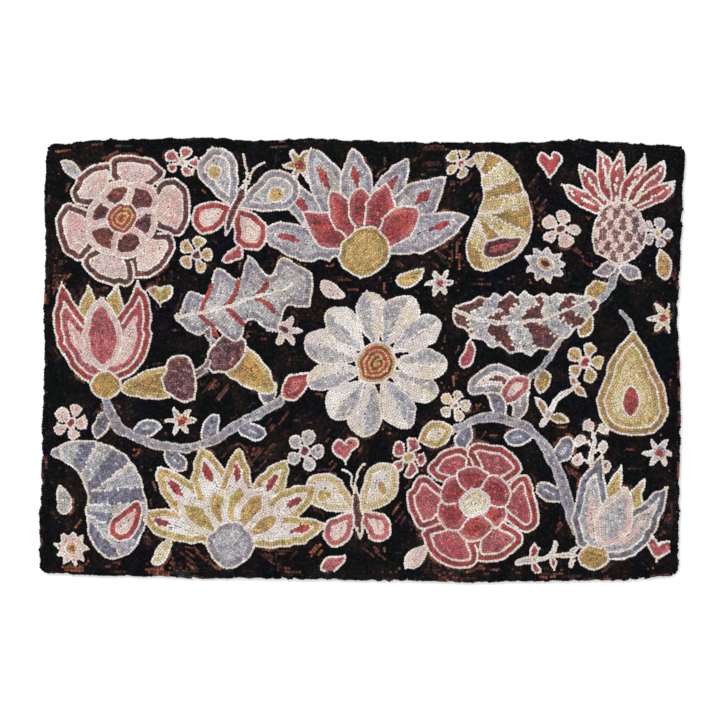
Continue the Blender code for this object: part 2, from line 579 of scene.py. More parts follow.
@cache
def design():
    """Every patch of the rug's design, the top-most first."""
    patches = []
    for motif, x, y, *how in all_motifs():
        for area in motif:
            moved = placed(area, (x, y), *how)
            outline, spine = drawn_by_hand(moved.outline), drawn_by_hand(moved.spine)
            patches.append(moved._replace(outline=outline, spine=spine))
    return patches


# Hooking the rows of loops

GROUND = -1
GAP_ROW = -1
CELL = 0.5
TRACE_STEP = 0.5
MOST_ROWS = 40
EDGE_ROWS = 3
ECHO_ROWS = 2

# How close another loop may come, and how far in the rug's outermost row lies, as shares of a row's
# pitch. Then how far short of its distance a row may fall, and the grid's margin, in millimetres.
CLEAR_SHARE = 0.84
FIRST_ROW_SHARE = 0.55
ROW_SLACK = 0.35
GRID_MARGIN = 10

# The black ground's rows run in one of these directions, in degrees. Soft noise, of this size and
# seed, says which: each limit that it passes is a step along the list.
GROUND_TURNS = (52, 0, 90, -38)
TURN_LIMITS = (0.36, 0.5, 0.64)
TURN_SIZE, TURN_SEED = 80, 51

# Two slow waves in those rows: how far they stray, over what length, and how they change by row
WANDERS = ((0.9, 61, 0.07), (0.6, 23, 0.11))


class Hooking:
    """Keeps each loop that has been hooked, and knows where one more still fits."""

    def __init__(self, rim, row_pitch, loop_pitch):
        self.row_pitch = row_pitch
        self.loop_pitch = loop_pitch
        self.low = rim.min(axis=0) - GRID_MARGIN
        columns, rows = ((rim.max(axis=0) + GRID_MARGIN - self.low) / CELL).astype(int) + 1
        self.filled = np.ones((rows, columns), bool)
        self.crowded = np.zeros((rows, columns), bool)
        self.reach = int(math.ceil(CLEAR_SHARE * row_pitch / CELL))
        y, x = np.mgrid[-self.reach : self.reach + 1, -self.reach : self.reach + 1]
        self.footprint = np.hypot(x, y) * CELL < CLEAR_SHARE * row_pitch
        self.loops = []
        self.rug, self.rug_window = self.inside(rim)
        self.filled[self.rug_window] = ~self.rug

    def inside(self, outline):
        """The grid's cells that lie inside an outline, and the part of the grid that they are in."""
        size = np.array(self.filled.shape[::-1])
        first = np.clip(np.floor((outline.min(axis=0) - self.low) / CELL).astype(int), 0, size - 1)
        last = np.clip(np.ceil((outline.max(axis=0) - self.low) / CELL).astype(int) + 1, first + 1, size)
        middles = (np.arange(first[1], last[1]) + 0.5) * CELL + self.low[1]
        start, end = outline, np.roll(outline, -1, axis=0)
        start_below, end_below = (ends[None, :, 1] <= middles[:, None] for ends in (start, end))
        row, side = np.nonzero(start_below != end_below)
        share = (middles[row] - start[side, 1]) / (end[side, 1] - start[side, 1])
        x = start[side, 0] + share * (end[side, 0] - start[side, 0])
        width = last[0] - first[0]
        column = np.clip(np.ceil((x - self.low[0]) / CELL - 0.5).astype(int) - first[0], 0, width)
        crossings = np.zeros((len(middles), width + 1), int)
        np.add.at(crossings, (row, column), 1)
        window = (slice(first[1], last[1]), slice(first[0], last[0]))
        return (np.cumsum(crossings, axis=1) % 2 == 1)[:, :-1], window

    def cells(self, points):
        spots = ((points - self.low) / CELL).astype(int)
        return tuple(np.clip(spots[:, axis], 0, self.filled.shape[1 - axis] - 1) for axis in (1, 0))

    def hook(self, row_cell, column_cell, x, y, angle, area, row):
        around = tuple(slice(cell - self.reach, cell + self.reach + 1) for cell in (row_cell, column_cell))
        self.crowded[around] |= self.footprint
        self.loops.append((x, y, angle, area, row))

    def walk(self, line, angles, usable, area, row):
        """Hooks loops an even pitch apart along a line, wherever one fits."""
        row_cells, column_cells = self.cells(line)
        usable = usable & ~self.filled[row_cells, column_cells]
        travelled = np.concatenate([[0], np.cumsum(np.hypot(*np.diff(line, axis=0).T))])
        ready_at = 0.0
        for index in np.nonzero(usable)[0]:
            row_cell, column_cell = row_cells[index], column_cells[index]
            if travelled[index] >= ready_at and not self.crowded[row_cell, column_cell]:
                self.hook(row_cell, column_cell, *line[index], angles[index], area, row)
                ready_at = travelled[index] + self.loop_pitch

    def follow(self, outline, offset, area, row):
        """One row at an even distance inside an outline, or outside it if the offset is negative."""
        ahead = headings(outline, closed=True)
        line = outline + left_of(ahead) * offset
        posts = outline[::2]
        parts = np.array_split(line, len(line) // 400 + 1)
        clear = [np.hypot(*(part[:, None] - posts[None]).transpose(2, 0, 1)).min(axis=1) for part in parts]
        usable = np.concatenate(clear) > abs(offset) - ROW_SLACK
        if not usable.any():
            return False
        run_starts = np.nonzero(usable & ~np.roll(usable, 1))[0]
        shift = -run_starts[0] if len(run_starts) else 0
        angles = np.arctan2(ahead[:, 1], ahead[:, 0])
        self.walk(np.roll(line, shift, axis=0), np.roll(angles, shift), np.roll(usable, shift), area, row)
        return True

    def fill_gaps(self, mask, window, area):
        """Hooks a loop into each hole that the rows have left."""
        rows, columns = np.nonzero(mask & ~self.crowded[window] & ~self.filled[window])
        for row_cell, column_cell in zip(rows + window[0].start, columns + window[1].start):
            if not self.crowded[row_cell, column_cell]:
                x, y = self.low + (np.array([column_cell, row_cell]) + 0.5) * CELL
                self.hook(row_cell, column_cell, x, y, 0.0, area, GAP_ROW)

    def hook_patch(self, outline, area):
        """Fills a patch from its outline inwards, and keeps what comes later out of it."""
        row = 0
        while row < MOST_ROWS and self.follow(outline, (row + 0.5) * self.row_pitch, area, row):
            row += 1
        mask, window = self.inside(outline)
        self.fill_gaps(mask, window, area)
        self.filled[window] |= mask

    def hook_ground(self):
        """Rows over what is still bare. They run one way here and another way there, with a little wander."""
        size = np.array(self.filled.shape[::-1]) * CELL
        middle, reach = self.low + size / 2, np.hypot(*size) / 2
        along = np.arange(-reach, reach, CELL)
        for part, turn in enumerate(GROUND_TURNS):
            for index, across in enumerate(np.arange(-reach, reach, self.row_pitch)):
                wander = sum(
                    stray * np.sin(along / length + index * change) for stray, length, change in WANDERS
                )
                line = turned(np.column_stack([along, across + wander]), turn) + middle
                here = np.digitize(soft_noise(*line.T, TURN_SIZE, TURN_SEED), TURN_LIMITS) == part
                self.walk(line, np.full(len(line), math.radians(turn)), here, GROUND, index)
        self.fill_gaps(self.rug, self.rug_window, GROUND)


def traced(outline):
    """An outline in even steps, running anticlockwise, so that its inside is on its left."""
    line = even_steps(outline, TRACE_STEP, closed=True)
    x, y = line.T
    return line if np.sum(x * np.roll(y, -1) - y * np.roll(x, -1)) > 0 else line[::-1]


# The heights between which the solid is widest, in millimetres
WALL_FROM, WALL_TO = 2, 6


@cache
def rug_rim():
    """The rug's outline in millimetres, read from the widest part of its solid."""
    points = np.array([point.co for point in RUG_SOLID.data.vertices]) / MM
    wall = points[(points[:, 2] > WALL_FROM) & (points[:, 2] < WALL_TO)][:, :2]
    wall = np.unique(np.round(wall, 2), axis=0)
    reach = np.hypot(*wall.T)
    angle = np.arctan2(wall[:, 1], wall[:, 0])
    order = np.argsort(angle)
    return wall[order][outermost(angle[order], reach[order])]


def outermost(angle, reach):
    """Which of the points, in order of their angle, aren't behind a neighbour at the same angle."""
    keep = []
    for index in range(len(angle)):
        if keep and angle[index] - angle[keep[-1]] < 1e-4:
            if reach[index] > reach[keep[-1]]:
                keep[-1] = index
        else:
            keep.append(index)
    return keep


@cache
def hooked_loops():
    """Each loop's place, direction, patch and row, in the order they are hooked."""
    pile = bpy.context.scene.rug_pile
    rim = traced(rug_rim())
    hooking = Hooking(rim, pile.row_pitch / MM, pile.loop_pitch / MM)
    for row in range(EDGE_ROWS):
        hooking.follow(rim, (row + FIRST_ROW_SHARE) * hooking.row_pitch, GROUND, row)
    outlines = [traced(area.outline) for area in design()]
    for number, outline in enumerate(outlines):
        hooking.hook_patch(outline, number)
    for echo in range(ECHO_ROWS):
        for outline in outlines:
            hooking.follow(outline, -(echo + 0.5) * hooking.row_pitch, GROUND, EDGE_ROWS + echo)
    hooking.hook_ground()
    return [np.array(column) for column in zip(*hooking.loops)]


# Lines and checks inside a patch, in millimetres, and how far a chevron runs back towards its sides
CHECK_WIDTH = 9
MIDDLE_LINE_HALF = 1.9
BAND_LINE = 2.7
CHEVRON_LINE = 3.2
CHEVRON_SLANT = 1.2


def patch_yarns(area, x, y, row):
    """The yarn of each loop of a patch, from where it lies along, across and inside the patch."""
    spots = np.column_stack([x, y])
    gaps = np.hypot(*(spots[:, None] - area.spine[None]).transpose(2, 0, 1))
    nearest = np.argmin(gaps, axis=1)
    share = nearest / (len(area.spine) - 1)
    ahead = headings(area.spine)[nearest]
    from_spine = spots - area.spine[nearest]
    side = ahead[:, 0] * from_spine[:, 1] - ahead[:, 1] * from_spine[:, 0]
    band = share * area.count
    lean = band - CHEVRON_SLANT * gaps.min(axis=1) / max(area.half_width, 1)
    picks = {
        "rows": np.maximum(row - 1, 0) // 2,
        "inlaid": row // 3,
        "rings": row % 2,
        "halves": side > 0,
        "bands": np.floor(band) % 2,
        "chevrons": np.floor(lean) % 2,
        "checks": (np.floor(band) + np.floor(side / CHECK_WIDTH)) % 2,
    }
    pick = np.minimum(picks[area.pattern].astype(int), len(area.yarns) - 1)
    yarns = np.array(area.yarns, dtype=object)[pick]

    # A row of the edge's yarn runs round the patch, and some patterns have more such rows inside
    band_length = np.hypot(*np.diff(area.spine, axis=0).T).sum() / area.count
    lines = {
        "inlaid": row == 3,
        "halves": np.abs(side) < MIDDLE_LINE_HALF,
        "bands": (band % 1 * band_length < BAND_LINE) & (band > 1),
        "chevrons": (lean % 1 * band_length < CHEVRON_LINE) & (lean > 0),
    }
    yarns[(row == 0) | lines.get(area.pattern, row == 0)] = area.edge

    # A loop that fills a gap takes the yarn of the nearest loop in a row
    in_row, in_gap = np.nonzero(row != GAP_ROW)[0], np.nonzero(row == GAP_ROW)[0]
    if len(in_row):
        apart = np.hypot(*(spots[in_gap, None] - spots[None, in_row]).transpose(2, 0, 1))
        yarns[in_gap] = yarns[in_row[apart.argmin(axis=1)]]
    return yarns


@cache
def loop_yarns():
    """The name of each loop's yarn."""
    x, y, _, area, row = hooked_loops()
    yarns = np.full(len(x), "black", dtype=object)
    for number, one in enumerate(design()):
        mine = area == number
        if mine.any():
            yarns[mine] = patch_yarns(one, x[mine], y[mine], row[mine])
    return yarns


# Dyeing: no two lengths of hand-dyed yarn are the same

# The dyes that each yarn drifts to, as colours on a screen, and over what distances in millimetres.
# They also come in short flecks.
DRIFTS = {
    "black": ((9, 9, 19), (8, 12, 12), (28, 21, 20)),
    "cream": ((204, 191, 188), (226, 222, 218), (210, 197, 177)),
    "light_grey": ((154, 150, 162), (188, 186, 183), (168, 160, 154)),
    "lavender_grey": ((120, 116, 134), (160, 154, 162), (140, 128, 134)),
    "blue_grey": ((94, 94, 114), (132, 130, 146), (104, 94, 104)),
    "brick": ((140, 48, 50), (178, 78, 72), (128, 54, 60)),
    "rose": ((156, 64, 76), (192, 110, 108), (148, 78, 86)),
    "pale_pink": ((202, 160, 156), (220, 202, 190), (198, 178, 176)),
    "maroon": ((80, 42, 45), (122, 68, 60), (92, 60, 66)),
    "mauve_brown": ((104, 70, 74), (146, 108, 102), (114, 86, 96)),
    "ochre": ((154, 114, 70), (188, 148, 80), (138, 120, 74)),
    "gold": ((172, 134, 86), (204, 174, 112), (170, 152, 92)),
    "pale_gold": ((190, 172, 124), (216, 206, 174), (196, 168, 122)),
}
DRIFT_SIZES = (46, 31, 22)
MOST_DRIFT = 0.85

# The chance that a fleck starts at a loop of a motif, and at one of the ground where none or all gather
MOTIF_FLECKS = 0.10
FEWEST_FLECKS, GATHERED_FLECKS = 0.001, 0.24

# The black ground's flecks, mostly brown
GROUND_FLECKS = (
    (94, 54, 45), (68, 42, 38), (54, 36, 34), (84, 54, 47), (114, 70, 53), (70, 40, 41), (26, 34, 36),
)


@cache
def loop_colours():
    """Each loop's linear colour: its yarn's dye drifting along the rug, with flecks in short runs."""
    colours = bpy.context.scene.rug_yarns
    x, y, *_ = hooked_loops()
    yarns = loop_yarns()
    count = len(yarns)
    chance = np.random.default_rng(11)
    names, kind = np.unique(yarns.astype(str), return_inverse=True)
    dyed = np.array([tuple(getattr(colours, name)) for name in names])[kind]
    for turn, size in enumerate(DRIFT_SIZES):
        toward = np.array([from_screen(*DRIFTS[name][turn]) for name in names])[kind]
        share = np.clip(soft_noise(x, y, size, 20 + turn) * 2.6 - 1.25, 0, MOST_DRIFT)[:, None]
        dyed = dyed * (1 - share) + toward * share

    # Flecks come in short runs along a row. In the ground they gather here and there.
    is_ground = yarns == "black"
    clusters = np.clip(soft_noise(x, y, 23, 31) * 7 - 4.7, 0, 1)
    gathered = clusters * np.clip(soft_noise(x, y, 90, 32) * 3 - 0.7, 0.1, 1)
    likely = np.where(is_ground, FEWEST_FLECKS + GATHERED_FLECKS * gathered, MOTIF_FLECKS)
    ground_flecks = np.array([from_screen(*fleck) for fleck in GROUND_FLECKS])
    for start in np.nonzero(chance.random(count) < likely)[0]:
        length = chance.integers(2, 8) if is_ground[start] else chance.integers(1, 4)
        run = slice(start, start + int(length))
        same = yarns[run] == yarns[start]
        if is_ground[start]:
            fleck = ground_flecks[chance.integers(len(ground_flecks))]
        else:
            fleck = from_screen(*DRIFTS[yarns[start]][chance.integers(3)])
        dyed[run][same] = fleck

    # Dark loops differ more in shade than light ones
    spread = 0.44 * (1 - dyed.max(axis=1)) ** 1.7
    shade = np.exp(chance.normal(0, 1, count) * spread)
    return np.clip(dyed * shade[:, None], 0, 1)


# Finishes

# Metres across one ply of the yarn and one thread of the cloth
PLY_WIDTH = 0.0013
THREAD_WIDTH = 0.0018

# Painted light and shade on a loop: the height, as a share, where its dye shows as it is, and the darkest its
# foot gets
UNSHADED_HEIGHT = 0.925
DARKEST_PAINTED_SHADE = 0.4


def shader_group(name, inputs, outputs):
    """A new shader node group with named sockets, as its tree, its input node and its output node."""
    group = bpy.data.node_groups.new(name, "ShaderNodeTree")
    for label, kind, default in inputs:
        socket = group.interface.new_socket(label, in_out="INPUT", socket_type=kind)
        if default is not None:
            socket.default_value = default
    for label, kind in outputs:
        group.interface.new_socket(label, in_out="OUTPUT", socket_type=kind)
    return group, group.nodes.new("NodeGroupInput"), group.nodes.new("NodeGroupOutput")


def maths(nodes, operation, first=None, second=None, third=None):
    node = nodes.new("ShaderNodeMath")
    node.operation = operation
    for socket, value in zip(node.inputs, (first, second, third)):
        if isinstance(value, (int, float)):
            socket.default_value = value
        elif value is not None:
            node.id_data.links.new(value, socket)
    return node.outputs["Value"]


def noise(nodes, vector, scale, detail, roughness):
    node = nodes.new("ShaderNodeTexNoise")
    node.inputs["Scale"].default_value = scale
    node.inputs["Detail"].default_value = detail
    node.inputs["Roughness"].default_value = roughness
    node.id_data.links.new(vector, node.inputs["Vector"])
    return node.outputs["Fac"]


def shaded(nodes, colour, shade):
    """A colour made lighter or darker by a factor."""
    node = nodes.new("ShaderNodeVectorMath")
    node.operation = "SCALE"
    links = node.id_data.links
    if isinstance(colour, bpy.types.NodeSocket):
        links.new(colour, node.inputs["Vector"])
    else:
        node.inputs["Vector"].default_value = colour
    links.new(shade, node.inputs["Scale"])
    return node.outputs["Vector"]


@cache
def spun_wool():
    """Heathered fibre colour, the twist of the yarn's plies and a soft fuzz, for any wool, with painted shade
    in the ply valleys and gaps and a painted highlight on each loop's crown.
    """
    group, given, made = shader_group(
        "Spun wool",
        (
            ("Dye", "NodeSocketColor", (0.5, 0.5, 0.5, 1.0)),
            ("Place", "NodeSocketVector", None),
            ("Place on loop", "NodeSocketVector", None),
            ("Heather", "NodeSocketFloat", 0.25),
            ("Depth", "NodeSocketFloat", 4.0),
            ("Ply width", "NodeSocketFloat", PLY_WIDTH),
        ),
        (("Colour", "NodeSocketColor"), ("Height", "NodeSocketFloat"), ("Roughness", "NodeSocketFloat")),
    )
    nodes, links = group.nodes, group.links

    # Plies run slantwise over the top of each loop
    split = nodes.new("ShaderNodeSeparateXYZ")
    links.new(given.outputs["Place on loop"], split.inputs["Vector"])
    slant = maths(nodes, "MULTIPLY_ADD", split.outputs["Y"], 0.75, split.outputs["X"])
    turns = maths(nodes, "DIVIDE", slant, given.outputs["Ply width"])
    ply = maths(nodes, "SINE", maths(nodes, "MULTIPLY", turns, 2 * math.pi))

    fibres = noise(nodes, given.outputs["Place"], 1900.0, 3.0, 0.75)
    tufts = noise(nodes, given.outputs["Place"], 420.0, 2.0, 0.5)

    # The fibres' own lighter and darker hairs, and painted shade in the valleys between the plies
    uneven_fibres, uneven_tufts = (maths(nodes, "SUBTRACT", grain, 0.5) for grain in (fibres, tufts))
    mottle = maths(nodes, "ADD", uneven_fibres, uneven_tufts)
    mottle = maths(nodes, "MULTIPLY", mottle, given.outputs["Heather"])
    shade = maths(nodes, "MULTIPLY_ADD", mottle, 2.0, maths(nodes, "MULTIPLY_ADD", ply, 0.05, 0.97))

    # Painted light and shade: a loop's colour is lightened at its crown and darkened down into the gaps,
    # where shade falls
    rise = maths(nodes, "SUBTRACT", split.outputs["Z"], UNSHADED_HEIGHT)
    crown = maths(nodes, "MULTIPLY_ADD", rise, given.outputs["Depth"], 1.0)
    shade = maths(nodes, "MULTIPLY", shade, maths(nodes, "MAXIMUM", crown, DARKEST_PAINTED_SHADE))
    links.new(shaded(nodes, given.outputs["Dye"], shade), made.inputs["Colour"])

    height = maths(nodes, "MULTIPLY_ADD", ply, 0.35, maths(nodes, "MULTIPLY", fibres, 0.9))
    links.new(height, made.inputs["Height"])
    links.new(maths(nodes, "MULTIPLY_ADD", fibres, 0.14, 0.84), made.inputs["Roughness"])
    return group


def new_material(name):
    material = bpy.data.materials.new(name)
    material.use_nodes = True
    tree = material.node_tree
    return material, tree.nodes, tree.links, tree.nodes["Principled BSDF"]


def attribute(nodes, name, output):
    node = nodes.new("ShaderNodeAttribute")
    node.attribute_name = name
    return node.outputs[output]


def bumped(nodes, links, height, distance, shader):
    bump = nodes.new("ShaderNodeBump")
    bump.inputs["Strength"].default_value = 0.6
    bump.inputs["Distance"].default_value = distance
    links.new(height, bump.inputs["Height"])
    links.new(bump.outputs["Normal"], shader.inputs["Normal"])


def wool_finish(family):
    """A matte wool. Its dye comes from the piece's own colours, one for each loop."""
    material, nodes, links, shader = new_material(family.name + "_wool")
    wool = nodes.new("ShaderNodeGroup")
    wool.node_tree = spun_wool()
    wool.inputs["Heather"].default_value = family.heather
    # Painted light and shade: how much each loop is lightened at its crown and darkened towards the gaps
    wool.inputs["Depth"].default_value = family.depth
    links.new(attribute(nodes, "dye", "Color"), wool.inputs["Dye"])
    links.new(attribute(nodes, "place_on_loop", "Vector"), wool.inputs["Place on loop"])
    links.new(nodes.new("ShaderNodeTexCoord").outputs["Object"], wool.inputs["Place"])
    links.new(wool.outputs["Colour"], shader.inputs["Base Color"])
    links.new(wool.outputs["Roughness"], shader.inputs["Roughness"])
    bumped(nodes, links, wool.outputs["Height"], 0.0008, shader)
    shader.inputs["Specular IOR Level"].default_value = family.shine
    shader.inputs["Sheen Weight"].default_value = family.sheen
    shader.inputs["Sheen Roughness"].default_value = 0.6
    return material


def cloth_finish():
    """Coarse plain-woven cotton: bare below; above, the colour of the yarns nearby with painted shade."""
    material, nodes, links, shader = new_material("foundation_cloth")
    place = nodes.new("ShaderNodeTexCoord").outputs["Object"]
    split = nodes.new("ShaderNodeSeparateXYZ")
    links.new(place, split.inputs["Vector"])
    warp, weft = (
        maths(nodes, "SINE", maths(nodes, "MULTIPLY", split.outputs[axis], 2 * math.pi / THREAD_WIDTH))
        for axis in "XY"
    )
    weave = maths(nodes, "MULTIPLY", warp, weft)
    slubs = noise(nodes, place, 900.0, 3.0, 0.6)
    tone = maths(nodes, "MULTIPLY_ADD", weave, 0.10, maths(nodes, "MULTIPLY_ADD", slubs, 0.5, 0.65))
    links.new(shaded(nodes, attribute(nodes, "dye", "Color"), tone), shader.inputs["Base Color"])
    bumped(nodes, links, maths(nodes, "ADD", weave, slubs), 0.0005, shader)
    shader.inputs["Roughness"].default_value = 0.93
    shader.inputs["Specular IOR Level"].default_value = 0.2
    return material


# Making pieces


def deselect_all():
    if bpy.context.object and bpy.context.object.mode != "OBJECT":
        bpy.ops.object.mode_set(mode="OBJECT")
    bpy.ops.object.select_all(action="DESELECT")


def select_only(piece, kind, wanted):
    """In edit mode, selects the faces or edges that a test on their middle picks."""
    mesh = piece.data
    bpy.ops.mesh.select_all(action="DESELECT")
    bpy.ops.mesh.select_mode(type=kind)
    bpy.ops.object.mode_set(mode="OBJECT")
    if kind == "FACE":
        for face in mesh.polygons:
            face.select = wanted(face.center)
    else:
        for edge in mesh.edges:
            start, end = (mesh.vertices[index].co for index in edge.vertices)
            edge.select = wanted((start + end) / 2)
    bpy.ops.object.mode_set(mode="EDIT")


# A loop's shape, as shares: how high its shoulder is, what counts as its top and its foot, and how wide
# the foot is
SHOULDER = 0.84
IS_TOP = 0.7
IS_FOOT = 0.01
FOOT_SIZE = 0.74

LoopShape = namedtuple("LoopShape", "points corners corner_counts flat_places")


@cache
def loop_shape():
    """One hooked loop, modelled 1 long, 1 wide and 1 high: a soft bead on a narrower foot.

    Its points and faces, and each face corner's place on the loop's own small square of the map.
    """
    deselect_all()
    bpy.ops.mesh.primitive_cylinder_add(
        vertices=8, radius=0.5, depth=SHOULDER, location=(0, 0, SHOULDER / 2), end_fill_type="NGON"
    )
    loop = bpy.context.object
    bpy.ops.object.transform_apply(location=True, rotation=False, scale=False)
    bpy.ops.object.mode_set(mode="EDIT")
    select_only(loop, "FACE", lambda at: at.z > IS_TOP)
    bpy.ops.mesh.poke(offset=1 - SHOULDER)

    # Every other edge of the foot is closed up, so that it has four sides
    select_only(loop, "EDGE", lambda at: at.z < IS_FOOT and (abs(at.x) > abs(at.y)) == (at.x * at.y > 0))
    bpy.ops.mesh.merge(type="COLLAPSE")
    select_only(loop, "FACE", lambda at: at.z < IS_FOOT)
    bpy.ops.transform.resize(value=(FOOT_SIZE, FOOT_SIZE, 1.0))
    bpy.ops.object.mode_set(mode="OBJECT")
    mesh = loop.data
    points = np.array([point.co for point in mesh.vertices])
    corners = [tuple(face.vertices) for face in mesh.polygons]

    # Seen from above, the top fills most of the square and the foot has a corner of its own
    flat = []
    for face in mesh.polygons:
        is_foot = face.center.z < IS_FOOT
        for index in face.vertices:
            x, y, z = points[index]
            size = 0.32 if is_foot else 0.64 if z > IS_TOP else 1.18
            middle = (0.88, 0.12) if is_foot else (0.42, 0.58)
            flat.append((middle[0] + x * size, middle[1] + y * size))
    bpy.data.objects.remove(loop)
    counts = np.array([len(face) for face in corners])
    return LoopShape(points, np.concatenate(corners), counts, np.array(flat))


@cache
def pile_tops():
    """How high the solid's top is over each loop, in metres."""
    mesh = RUG_SOLID.data
    tree = BVHTree.FromPolygons([p.co for p in mesh.vertices], [f.vertices for f in mesh.polygons])
    x, y, *_ = hooked_loops()
    tops = []
    for along, across in zip(x * MM, y * MM):
        spot = tree.ray_cast((along, across, 0.05), (0, 0, -1))[0]
        tops.append(spot.z if spot else RIM_TOP)
    return np.array(tops)


def smooth_mesh(name, coordinates, corners, corner_counts):
    """A smooth mesh from its points, the points at its faces' corners, and each face's number of corners."""
    mesh = bpy.data.meshes.new(name)
    starts = np.concatenate([[0], np.cumsum(corner_counts)[:-1]])
    mesh.vertices.add(len(coordinates))
    mesh.loops.add(len(corners))
    mesh.polygons.add(len(corner_counts))
    mesh.vertices.foreach_set("co", coordinates.astype(np.float32).ravel())
    mesh.loops.foreach_set("vertex_index", corners.astype(np.int32))
    mesh.polygons.foreach_set("loop_start", starts.astype(np.int32))
    mesh.polygons.foreach_set("loop_total", corner_counts.astype(np.int32))
    mesh.polygons.foreach_set("use_smooth", np.ones(len(corner_counts), bool))
    mesh.update(calc_edges=True)
    return mesh


# How much the loops differ: in size as a share, in height in metres, in turn in radians and in lean in
# metres. A loop hooked into a gap is shorter, as a share.
SIZE_SPREAD, HEIGHT_SPREAD, TURN_SPREAD, LEAN_SPREAD = 0.07, 0.00022, 0.10, 0.00034
GAP_LOOP_SHARE = 0.9


def make_pile(name, chosen, material):
    """A piece of many loops in one mesh, with a dye and a square of the map for each loop."""
    deselect_all()
    pile = bpy.context.scene.rug_pile
    shape = loop_shape()
    x, y, angle, _, row = (column[chosen] for column in hooked_loops())
    count = len(x)
    chance = np.random.default_rng(len(name) * 1000 + count)
    uneven = pile.unevenness

    # Each loop's own size, turn and lean
    long = pile.loop_length * (1 + uneven * chance.normal(0, SIZE_SPREAD, count))
    long = long * np.where(row == GAP_ROW, GAP_LOOP_SHARE, 1.0)
    wide = pile.loop_width * (1 + uneven * chance.normal(0, SIZE_SPREAD, count))
    high = pile_tops()[chosen] + uneven * chance.normal(0, HEIGHT_SPREAD, count)
    turn = angle + uneven * chance.normal(0, TURN_SPREAD, count)
    lean = uneven * chance.normal(0, LEAN_SPREAD, (count, 2))

    # The outermost loops lean out over the cloth's edge, some further than others
    lean += rim_lean(x, y)

    points = shape.points
    along = points[None, :, 0] * long[:, None]
    across = points[None, :, 1] * wide[:, None]
    rise = points[None, :, 2] * high[:, None]
    cosine, sine = np.cos(turn)[:, None], np.sin(turn)[:, None]
    tilt = points[None, :, 2] ** 1.5
    coordinates = np.stack(
        [
            x[:, None] * MM + along * cosine - across * sine + lean[:, :1] * tilt,
            y[:, None] * MM + along * sine + across * cosine + lean[:, 1:] * tilt,
            rise,
        ],
        axis=2,
    ).reshape(-1, 3)

    corners = (shape.corners[None] + np.arange(count)[:, None] * len(points)).ravel()
    mesh = smooth_mesh(name, coordinates, corners, np.tile(shape.corner_counts, count))

    dye = mesh.attributes.new("dye", "FLOAT_COLOR", "POINT")
    colours = np.column_stack([loop_colours()[chosen], np.ones(count)])
    dye.data.foreach_set("color", np.repeat(colours, len(points), axis=0).astype(np.float32).ravel())
    spot = mesh.attributes.new("place_on_loop", "FLOAT_VECTOR", "POINT")
    shift = chance.uniform(0, PLY_WIDTH, (count, 1))
    local = np.stack([along + shift, across, np.broadcast_to(points[:, 2], rise.shape)], axis=2)
    spot.data.foreach_set("vector", local.astype(np.float32).ravel())

    squares = int(math.ceil(math.sqrt(count)))
    corner = np.column_stack([np.arange(count) % squares, np.arange(count) // squares])
    flat = (corner[:, None] + shape.flat_places[None] * 0.94 + 0.03) / squares
    flat_map = mesh.uv_layers.new(name="OFBake")
    flat_map.data.foreach_set("uv", flat.astype(np.float32).ravel())

    piece = bpy.data.objects.new(name, mesh)
    bpy.context.scene.collection.objects.link(piece)
    mesh.materials.append(material)
    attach(piece, "root")
    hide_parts("hooked_rug")


# How far the outermost loops lean out, in millimetres. The lean starts at LEAN_REACH from the rim and
# is full LEAN_FADE nearer to it.
LEAST_LEAN, MOST_LEAN = -0.7, 3.3
LEAN_REACH, LEAN_FADE = 8.9, 7

# The rug's one pointed corner. Loops lean out more from CORNER_REACH of it, and most CORNER_FADE nearer.
POINTED_CORNER = (-448.6, 306.0)
CORNER_REACH, CORNER_FADE = 11, 5.6


def rim_lean(x, y):
    """How far the top of each loop leans out of the rug, in metres. The outermost row leans most."""
    rim = traced(rug_rim())
    outward = -left_of(headings(rim, closed=True))[::4]
    spots = np.column_stack([x, y])
    lean = []
    for part in np.array_split(spots, len(spots) // 2000 + 1):
        gaps = np.hypot(*(part[:, None] - rim[None, ::4]).transpose(2, 0, 1))
        bulge = LEAST_LEAN + (MOST_LEAN - LEAST_LEAN) * soft_noise(*part.T, 8, 41)
        pull = np.clip((CORNER_REACH - np.hypot(*(part - POINTED_CORNER).T)) / CORNER_FADE, 0, 1)
        bulge += (MOST_LEAN - bulge) * pull
        reach = bulge * MM * np.clip((LEAN_REACH - gaps.min(axis=1)) / LEAN_FADE, 0, 1)
        lean.append(outward[gaps.argmin(axis=1)] * reach[:, None])
    return np.concatenate(lean)


# depth: how strongly each loop's colour is lightened at its crown and darkened towards its foot, as painted
# light and shade
YarnFamily = namedtuple("YarnFamily", "name yarns heather depth sheen shine")
MOTIF_YARNS = (
    YarnFamily("grey_pile", ("light_grey", "lavender_grey", "blue_grey"), 0.26, 2.7, 0.20, 0.10),
    YarnFamily("red_pile", ("brick", "rose"), 0.24, 4.8, 0.16, 0.08),
    YarnFamily("pink_pile", ("pale_pink",), 0.20, 2.0, 0.20, 0.10),
    YarnFamily("brown_pile", ("maroon", "mauve_brown"), 0.28, 8.0, 0.12, 0.06),
    YarnFamily("gold_pile", ("ochre", "gold", "pale_gold"), 0.26, 3.8, 0.16, 0.10),
)
OUTLINE_YARN = YarnFamily("outline_pile", ("cream",), 0.16, 2.0, 0.20, 0.10)
GROUND_YARN = YarnFamily("ground_pile", ("black",), 0.40, 4.0, 0.015, 0.03)
GROUND_PIECES = 3
OUTLINE_PIECES = 2


def hook_family(family, parts=1):
    """The loops of one family of yarns, in as many pieces as keep each mesh small."""
    material = wool_finish(family)
    mine = np.nonzero(np.isin(loop_yarns().astype(str), family.yarns))[0]
    if parts == 1:
        make_pile(family.name, mine, material)
        return
    x = hooked_loops()[0]
    mine = mine[np.argsort(x[mine], kind="stable")]
    for number, share in enumerate(np.array_split(mine, parts)):
        make_pile(f"{family.name}_{number + 1}", np.sort(share), material)


# Operators


